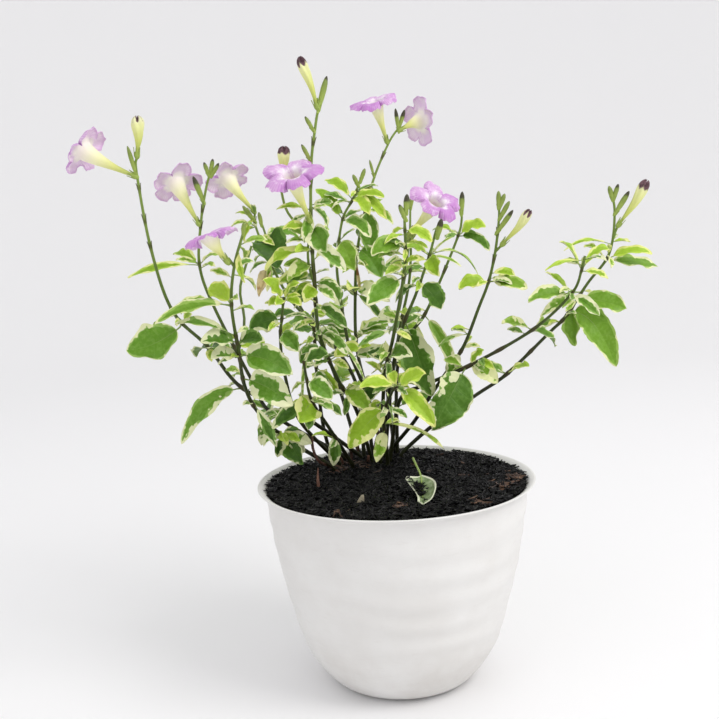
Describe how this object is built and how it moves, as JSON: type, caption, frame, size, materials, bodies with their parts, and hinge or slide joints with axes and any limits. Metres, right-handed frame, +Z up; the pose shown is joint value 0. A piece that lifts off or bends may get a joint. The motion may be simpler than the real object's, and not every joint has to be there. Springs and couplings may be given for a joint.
{
  "type": "potted variegated chinese violet",
  "caption": "Flowering plant with cream-edged green leaves on slim stems and lilac trumpet flowers, growing in a round white plastic pot filled with dark compost.",
  "frame": {"origin": "centre of the pot's flat foot, on the surface it rests on", "axes": "+Z up along the pot's axis; -Y towards the front, where the compost shows most; +X to the right seen from the front"},
  "size_m": [0.3795, 0.255, 0.3964],
  "materials": {
    "pot": "satin",
    "soil": "rough",
    "cast_leaf": "satin",
    "foliage": "satin",
    "petal": "matte",
    "bud": "matte"
  },
  "bodies": {
    "root": {"pot": "pot", "soil": "soil", "fallen_leaf": "cast_leaf", "stem_01": "foliage", "stem_02": "foliage", "stem_03": "foliage", "stem_04": "foliage", "stem_05": "foliage", "stem_06": "foliage", "stem_07": "foliage", "stem_08": "foliage", "stem_09": "foliage", "stem_10": "foliage", "stem_11": "foliage", "stem_12": "foliage", "stem_13": "foliage", "stem_14": "foliage", "stem_15": "foliage", "stem_16": "foliage", "stem_17": "foliage", "stem_18": "foliage", "stem_19": "foliage", "stem_20": "foliage", "bloom_1": "petal", "bloom_2": "petal", "bloom_3": "petal", "bloom_4": "petal", "bloom_5": "petal", "bloom_6": "petal", "bloom_7": "petal", "bloom_8": "petal", "bud_1": "bud", "bud_2": "bud", "bud_3": "bud", "bud_4": "bud", "bud_5": "bud"}
  },
  "joints": []
}
